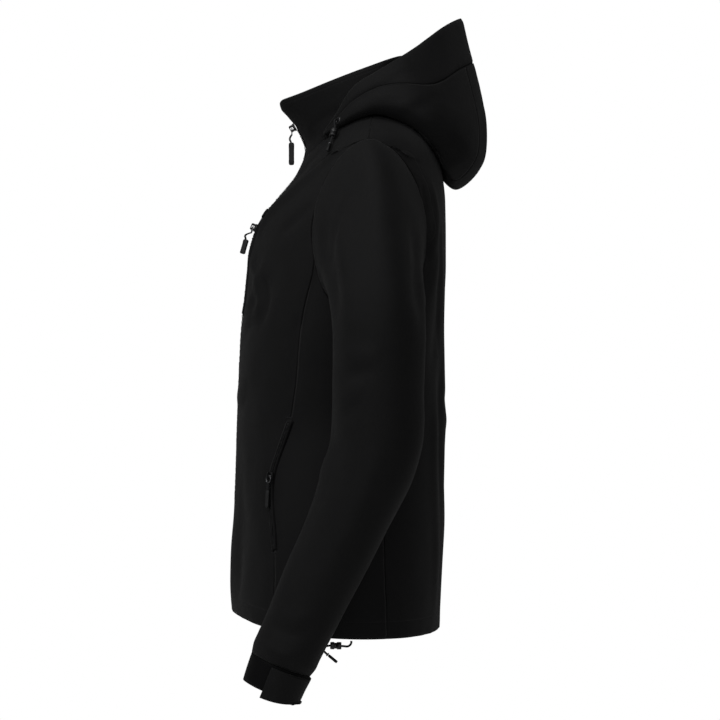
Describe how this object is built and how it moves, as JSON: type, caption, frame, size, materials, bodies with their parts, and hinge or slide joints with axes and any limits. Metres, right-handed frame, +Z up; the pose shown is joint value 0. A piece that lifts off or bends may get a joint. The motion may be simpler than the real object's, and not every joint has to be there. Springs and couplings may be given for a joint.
{
  "type": "softshell jacket",
  "caption": "Hooded softshell jacket with a stand collar, zip front, zip pockets and adjustable cuffs and hem, in the hollow shape it keeps when worn.",
  "frame": {"origin": "on the mid plane, level with the two points where the shoulders meet the neck", "axes": "+Z up, +X the wearer's left, -Y the front"},
  "size_m": [0.6, 0.3156, 0.8119],
  "materials": {
    "softshell": "matt bonded knit",
    "tape": "coil zip on woven tape",
    "moulded": "soft moulded",
    "painted_metal": "satin",
    "cord": "braided"
  },
  "bodies": {
    "jacket": {"back": "softshell", "collar": "softshell", "cuff_left": "softshell", "cuff_right": "softshell", "cuff_tab_left": "softshell", "cuff_tab_right": "softshell", "front_left": "softshell", "front_right": "softshell", "garage_chest": "softshell", "hem_cord_left": "cord", "hem_cord_right": "cord", "hem_lock_left": "moulded", "hem_lock_right": "moulded", "hem_toggle_left": "moulded", "hem_toggle_right": "moulded", "hood_brim": "softshell", "hood_cord_left": "cord", "hood_cord_right": "cord", "hood_crown": "softshell", "hood_eyelet_left": "painted_metal", "hood_eyelet_right": "painted_metal", "hood_lock_left": "moulded", "hood_lock_right": "moulded", "hood_side_left": "softshell", "hood_side_right": "softshell", "hood_toggle_left": "moulded", "hood_toggle_right": "moulded", "side_left": "softshell", "side_right": "softshell", "sleeve_under_left": "softshell", "sleeve_under_right": "softshell", "sleeve_upper_left": "softshell", "sleeve_upper_right": "softshell", "slider_chest": "painted_metal", "slider_hand_left": "painted_metal", "slider_hand_right": "painted_metal", "slider_main": "painted_metal", "zip_chest": "tape", "zip_hand_left": "tape", "zip_hand_right": "tape", "zip_main": "tape", "zip_main_end_left": "tape", "zip_main_end_right": "tape"},
    "pull_chest": {"pull_chest": "moulded"},
    "pull_hand_left": {"pull_hand_left": "moulded"},
    "pull_hand_right": {"pull_hand_right": "moulded"},
    "pull_main": {"pull_main": "moulded"}
  },
  "joints": [
    {"name": "pull_chest_swing", "type": "hinge", "parent": "jacket", "child": "pull_chest", "pos_m": [0.06149, -0.14199, -0.14431], "axis": [-0.9753, -0.2208, 0], "range_deg": [0, 140]},
    {"name": "pull_hand_left_swing", "type": "hinge", "parent": "jacket", "child": "pull_hand_left", "pos_m": [0.15477, -0.1196, -0.4422], "axis": [-0.6603, -0.751, 0], "range_deg": [0, 140]},
    {"name": "pull_hand_right_swing", "type": "hinge", "parent": "jacket", "child": "pull_hand_right", "pos_m": [-0.15477, -0.1196, -0.4422], "axis": [-0.6603, 0.751, 0], "range_deg": [0, 140]},
    {"name": "pull_main_swing", "type": "hinge", "parent": "jacket", "child": "pull_main", "pos_m": [0, -0.09648, -0.01917], "axis": [-1, 0, 0], "range_deg": [-8, 140]}
  ]
}
